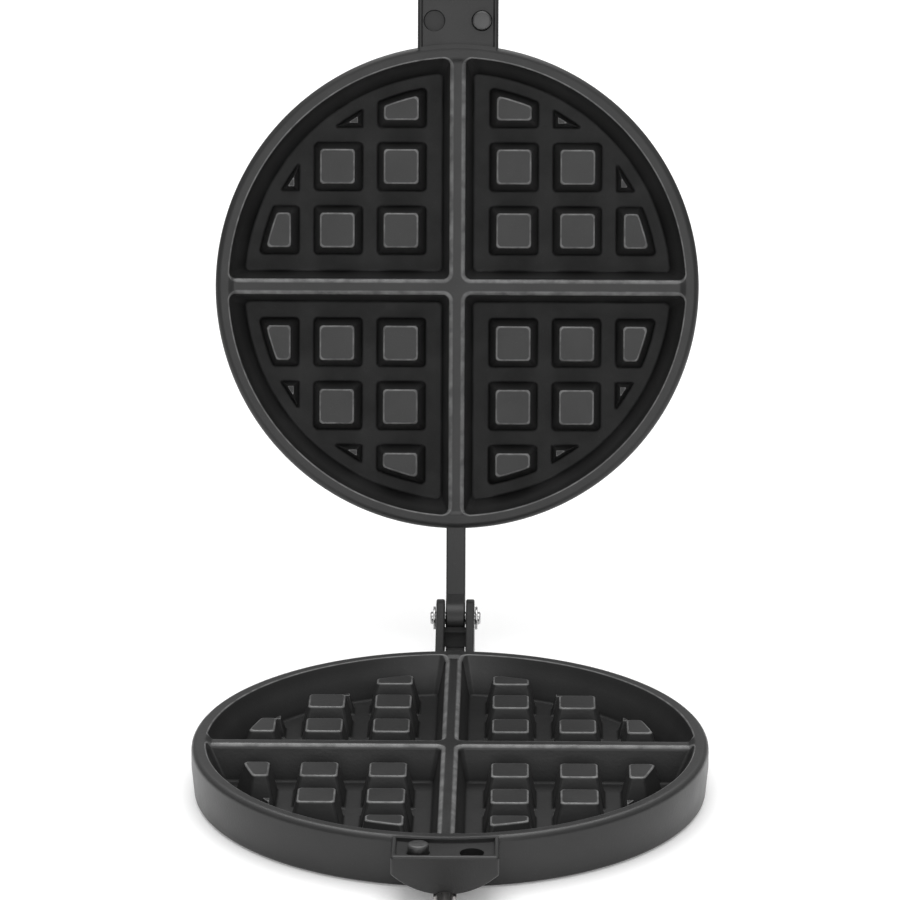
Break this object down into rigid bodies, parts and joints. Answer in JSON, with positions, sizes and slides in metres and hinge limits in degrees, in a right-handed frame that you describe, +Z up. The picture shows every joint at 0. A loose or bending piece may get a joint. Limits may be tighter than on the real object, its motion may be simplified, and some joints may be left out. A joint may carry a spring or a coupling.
{
  "type": "waffle maker",
  "caption": "Hob waffle iron standing open: round cast moulds with square pegs and cross dividers on a rear hinge, rod handles with half-round grips, wire latch.",
  "frame": {"origin": "centre of the lower mould's flat underside, which rests on the hob", "axes": "+Z up, -Y towards the cook along the lower handle, +X to the cook's right; the hinge axis runs along X behind the moulds"},
  "size_m": [0.192, 0.5508, 0.4302],
  "materials": {
    "non_stick_casting": "cast aluminium with a satin black non-stick coating",
    "black_steel": "black-oxide steel dowel",
    "rod_steel": "drawn steel rod, satin",
    "bright_steel": "plated steel fittings, satin",
    "spring_wire": "spring wire, bright drawn",
    "phenolic": "moulded black phenolic, satin"
  },
  "bodies": {
    "lower": {"lower_mould": "non_stick_casting", "lower_locating_peg": "black_steel", "lower_handle_rod": "rod_steel", "lower_handle_screw_rear": "bright_steel", "lower_handle_screw_front": "bright_steel", "lower_ferrule": "bright_steel", "lower_grip": "phenolic", "lower_grip_washer": "bright_steel", "lower_cap_nut": "bright_steel", "hinge_pin": "bright_steel", "hinge_clip_left": "bright_steel", "hinge_clip_right": "bright_steel"},
    "upper": {"upper_mould": "non_stick_casting", "upper_locating_peg": "black_steel", "upper_handle_rod": "rod_steel", "upper_handle_screw_rear": "bright_steel", "upper_handle_screw_front": "bright_steel", "upper_ferrule": "bright_steel", "upper_grip": "phenolic", "upper_grip_washer": "bright_steel", "upper_cap_nut": "bright_steel"},
    "latch": {"latch_bail": "spring_wire"}
  },
  "joints": [
    {"name": "lid_hinge", "type": "hinge", "parent": "lower", "child": "upper", "pos_m": [0, 0.1316, 0.0192], "axis": [1, 0, 0], "range_deg": [0, 105]},
    {"name": "latch_pivot", "type": "hinge", "parent": "upper", "child": "latch", "pos_m": [0, 0.24565, 0.41507], "axis": [1, 0, 0], "range_deg": [0, 247]}
  ]
}
